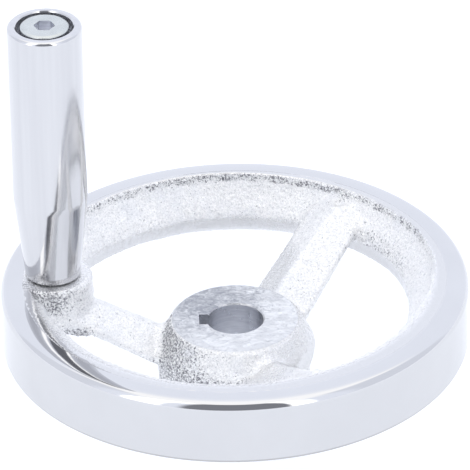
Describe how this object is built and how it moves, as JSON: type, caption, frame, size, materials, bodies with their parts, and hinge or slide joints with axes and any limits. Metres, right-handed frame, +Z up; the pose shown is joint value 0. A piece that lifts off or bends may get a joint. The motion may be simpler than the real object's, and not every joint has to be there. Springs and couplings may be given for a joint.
{
  "type": "handwheel",
  "caption": "Dished spoked handwheel with a polished rim, a keyed hub bore and a revolving grip, for turning a machine's shaft by hand.",
  "frame": {"origin": "centre of the bore in the plane of the hub's lower face", "axes": "+Z up the bore, from the hub's foot to the rim and the grip; the grip's spoke runs along -X"},
  "size_m": [0.1, 0.1, 0.0907],
  "materials": {
    "plated_casting": "iron casting plated with bright chrome: rim turned and polished, the rest rough as cast, hub faces machined",
    "bolt_steel": "turned steel, plated",
    "plated_steel": "turned steel, polished and plated with bright chrome"
  },
  "bodies": {
    "wheel": {"wheel": "plated_casting", "spindle": "bolt_steel"},
    "grip": {"grip": "plated_steel"}
  },
  "joints": [
    {"name": "grip_spin", "type": "hinge", "parent": "wheel", "child": "grip", "pos_m": [-0.03898, 0.00136, 0.03], "axis": [0, 0, 1], "continuous": true}
  ]
}
